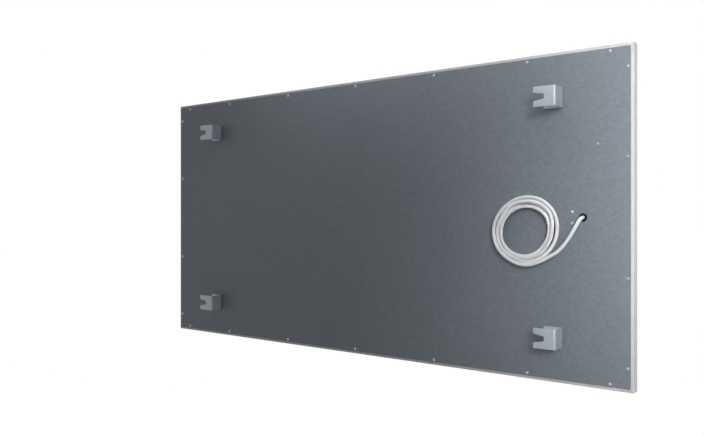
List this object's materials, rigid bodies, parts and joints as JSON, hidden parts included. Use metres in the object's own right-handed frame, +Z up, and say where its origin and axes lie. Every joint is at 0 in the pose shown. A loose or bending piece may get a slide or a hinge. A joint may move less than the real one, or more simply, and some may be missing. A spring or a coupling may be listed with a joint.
{
  "type": "infrared panel heater",
  "caption": "Flat wall-mounted infrared heating panel: folded white steel tray, riveted galvanised rear cover, notched hook brackets and a power cable coiled on the back.",
  "frame": {"origin": "middle of the four hook notches, on the wall plane", "axes": "+X to the right as seen from the heated front, +Y into the wall, +Z up"},
  "size_m": [1.2, 0.056, 0.6],
  "materials": {
    "white_enamel": "satin",
    "galvanised_cover": "satin",
    "galvanised_brackets": "satin",
    "rivet_aluminium": "satin",
    "zinc_screw": "satin",
    "terminal_brass": "satin",
    "tinned_copper": "satin",
    "busbar_copper": "satin",
    "carbon_strip": "matte",
    "glass_fibre_film": "matte",
    "reflector_foil": "gloss",
    "mineral_wool": "matte",
    "black_rubber": "matte",
    "white_cable_jacket": "satin",
    "brown_core": "satin",
    "blue_core": "satin",
    "green_yellow_core": "satin",
    "white_silicone": "satin",
    "grey_polyamide": "matte",
    "natural_polyamide": "satin",
    "black_phenolic": "matte"
  },
  "bodies": {
    "root": {"front_panel": "white_enamel", "rear_cover": "galvanised_cover", "cover_rivets": "rivet_aluminium", "bracket_upper_cable_end": "galvanised_brackets", "bracket_lower_cable_end": "galvanised_brackets", "bracket_upper_far_end": "galvanised_brackets", "bracket_lower_far_end": "galvanised_brackets", "bracket_rivets": "rivet_aluminium", "front_insulating_film": "glass_fibre_film", "heating_strips": "carbon_strip", "busbar_upper": "busbar_copper", "busbar_lower": "busbar_copper", "rear_insulating_film": "glass_fibre_film", "reflector_foil": "reflector_foil", "busbar_tabs": "tinned_copper", "insulation_board": "mineral_wool", "cable_grommet": "black_rubber", "power_cable_inner": "white_cable_jacket", "strain_relief_base": "grey_polyamide", "strain_relief_clamp": "grey_polyamide", "strain_relief_rivets": "rivet_aluminium", "live_core": "brown_core", "neutral_core": "blue_core", "earth_core": "green_yellow_core", "earth_ring_terminal": "tinned_copper", "earth_rivet": "rivet_aluminium", "junction_box": "grey_polyamide", "junction_box_lid": "grey_polyamide", "terminal_block": "natural_polyamide", "terminal_barrels": "terminal_brass", "terminal_screws": "zinc_screw", "thermal_cutout": "black_phenolic", "live_lead": "white_silicone", "cutout_lead": "white_silicone", "neutral_lead": "white_silicone", "power_cable_lead": "white_cable_jacket", "power_cable_coil": "white_cable_jacket", "cable_end_cores": "brown_core", "cable_end_ferrules": "tinned_copper"}
  },
  "joints": []
}
